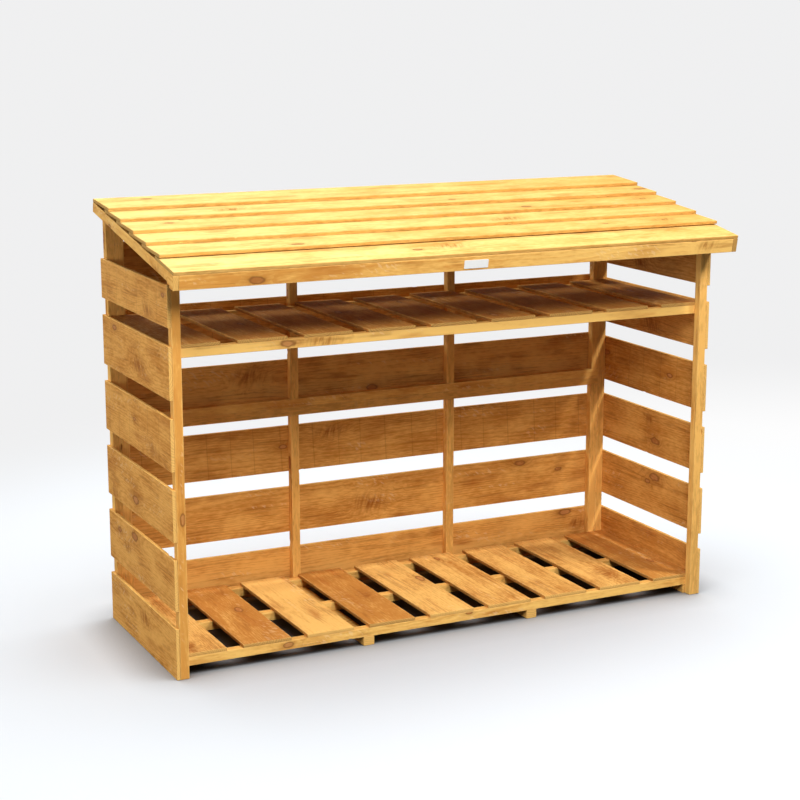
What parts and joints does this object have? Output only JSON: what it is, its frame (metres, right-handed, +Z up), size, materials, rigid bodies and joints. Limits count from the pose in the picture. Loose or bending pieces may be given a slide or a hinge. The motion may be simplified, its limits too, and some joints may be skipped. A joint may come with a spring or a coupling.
{
  "type": "log store",
  "caption": "Open-fronted wooden log store with slatted walls, a slatted floor and a high slatted shelf under a lean-to roof of lapped boards that falls to the front.",
  "frame": {"origin": "on the ground, under the middle of the whole object's box", "axes": "+X to the right seen from the open front, +Y from the open front to the back wall, +Z up"},
  "size_m": [1.802, 0.721, 1.2956],
  "materials": {
    "wall_board": "sawn softwood, golden brown treated",
    "frame_timber": "sawn softwood, golden brown treated",
    "slat": "sawn softwood, golden brown treated",
    "roof_board": "sawn softwood, golden brown treated"
  },
  "bodies": {
    "root": {"left_wall_boards": "wall_board", "right_wall_boards": "wall_board", "back_wall_lower_boards": "wall_board", "back_wall_upper_boards": "wall_board", "left_front_post": "frame_timber", "right_front_post": "frame_timber", "left_back_post": "frame_timber", "right_back_post": "frame_timber", "lower_stud_left_end": "frame_timber", "lower_stud_left_middle": "frame_timber", "lower_stud_right_middle": "frame_timber", "lower_stud_right_end": "frame_timber", "upper_stud_left_end": "frame_timber", "upper_stud_left_middle": "frame_timber", "upper_stud_right_middle": "frame_timber", "upper_stud_right_end": "frame_timber", "back_lower_top_rail": "frame_timber", "back_upper_bottom_rail": "frame_timber", "back_upper_top_rail": "frame_timber", "floor_bearer_left_end": "frame_timber", "floor_bearer_left_middle": "frame_timber", "floor_bearer_right_middle": "frame_timber", "floor_bearer_right_end": "frame_timber", "floor_front_rail": "frame_timber", "floor_middle_rail": "frame_timber", "floor_back_rail": "frame_timber", "floor_slats": "slat", "shelf_front_rail": "frame_timber", "shelf_back_rail": "frame_timber", "shelf_slats": "slat", "rafter_left_end": "frame_timber", "rafter_left_middle": "frame_timber", "rafter_right_middle": "frame_timber", "rafter_right_end": "frame_timber", "roof_fascia": "frame_timber", "left_bargeboard": "frame_timber", "right_bargeboard": "frame_timber", "roof_board_1": "roof_board", "roof_board_2": "roof_board", "roof_board_3": "roof_board", "roof_board_4": "roof_board", "roof_board_5": "roof_board", "roof_board_6": "roof_board"}
  },
  "joints": []
}
